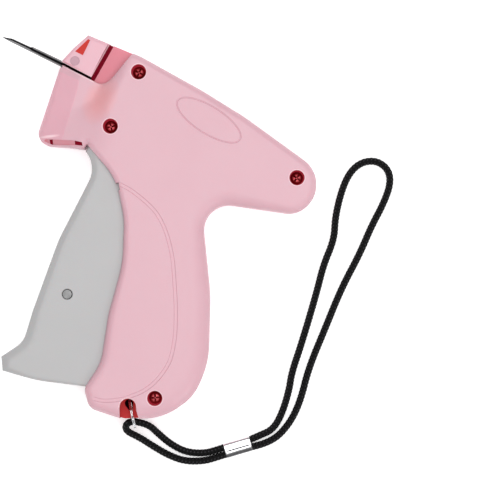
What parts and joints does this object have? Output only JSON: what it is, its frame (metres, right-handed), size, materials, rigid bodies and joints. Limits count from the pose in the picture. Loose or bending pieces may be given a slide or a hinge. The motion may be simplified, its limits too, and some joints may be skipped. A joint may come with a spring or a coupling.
{
  "type": "garment tag attacher",
  "caption": "Pistol-shaped hand tool that pushes plastic tag pins through cloth with a hollow needle, with a long trigger and a cord wrist strap.",
  "frame": {"origin": "on the flat right-hand face that the tool lies on, on the axis that the trigger turns about", "axes": "+X back along the barrel, away from the needle; +Y towards the top of the tool; +Z out of the left-hand side, square to the face it lies on"},
  "size_m": [0.1861, 0.1579, 0.026],
  "materials": {
    "casing": "satin moulded",
    "mark": "painted",
    "trigger": "satin moulded",
    "trigger_pin": "moulded",
    "inner_plastic": "moulded",
    "screws": "plated",
    "needle": "polished",
    "steel": "plain",
    "ring": "plated",
    "ferrule": "plated",
    "cord": "braided"
  },
  "bodies": {
    "casing": {"right_shell": "casing", "left_shell": "casing", "nose_plate": "casing", "arrow_mark": "mark", "casing_screws": "screws", "needle": "needle", "needle_hub": "inner_plastic", "knife": "steel", "feed_wheel_axle": "steel", "feed_pawl_pin": "steel", "anti_reverse_spring": "steel", "lever_pivot_pin": "steel", "trigger_return_spring": "steel"},
    "trigger": {"trigger": "trigger", "trigger_pin": "trigger_pin"},
    "link": {"link": "inner_plastic", "link_pin": "steel"},
    "drive_lever": {"drive_lever": "inner_plastic"},
    "slide": {"slide": "inner_plastic", "slide_pin": "steel", "push_rod": "steel"},
    "feed_wheel": {"feed_wheel": "inner_plastic"},
    "feed_pawl": {"feed_pawl": "inner_plastic"},
    "lock_knob": {"needle_lock_knob": "inner_plastic"},
    "strap": {"lanyard_ring": "ring", "strap_ferrule": "ferrule", "strap_small_loop": "cord", "strap_wrist_loop": "cord"}
  },
  "joints": [
    {"name": "trigger_pull", "type": "hinge", "parent": "casing", "child": "trigger", "pos_m": [0, 0, 0.013], "axis": [0, 0, 1], "range_deg": [0, 11], "stiffness_Nm_per_rad": 2, "springref_deg": -3.44},
    {"name": "link_swing", "type": "hinge", "parent": "trigger", "child": "link", "pos_m": [0.0148, -0.0729, 0.013], "axis": [0, 0, 1], "range_deg": [-14.6, 0]},
    {"name": "lever_swing", "type": "hinge", "parent": "casing", "child": "drive_lever", "pos_m": [0.0495, -0.0465, 0.013], "axis": [0, 0, 1], "range_deg": [0, 38], "deforming": ["trigger_return_spring"]},
    {"name": "slide_stroke", "type": "slide", "parent": "casing", "child": "slide", "axis": [-1, 0, 0], "range_m": [0, 0.0421]},
    {"name": "feed_wheel_turn", "type": "hinge", "parent": "casing", "child": "feed_wheel", "pos_m": [-0.0106, 0.0044, 0.0107], "axis": [0, 0, 1], "continuous": true},
    {"name": "feed_pawl_swing", "type": "hinge", "parent": "casing", "child": "feed_pawl", "pos_m": [-0.0085, -0.006, 0.0107], "axis": [0, 0, 1], "range_deg": [0, 3.01]},
    {"name": "lock_knob_turn", "type": "hinge", "parent": "casing", "child": "lock_knob", "pos_m": [-0.0262, 0.0186, 0.0107], "axis": [0, 0, 1], "range_deg": [0, 90]},
    {"name": "strap_swing", "type": "hinge", "parent": "casing", "child": "strap", "pos_m": [0.0589, -0.103, 0.0122], "axis": [0, 0, 1], "range_deg": [-20, 0]}
  ],
  "couplings": [
    {"joint": "link_swing", "follows": "trigger_pull", "ratio": -1.3248},
    {"joint": "lever_swing", "follows": "trigger_pull", "ratio": 3.4521},
    {"joint": "slide_stroke", "follows": "trigger_pull", "m_per_rad": 0.21877},
    {"joint": "feed_pawl_swing", "follows": "trigger_pull", "ratio": 0.2727}
  ]
}
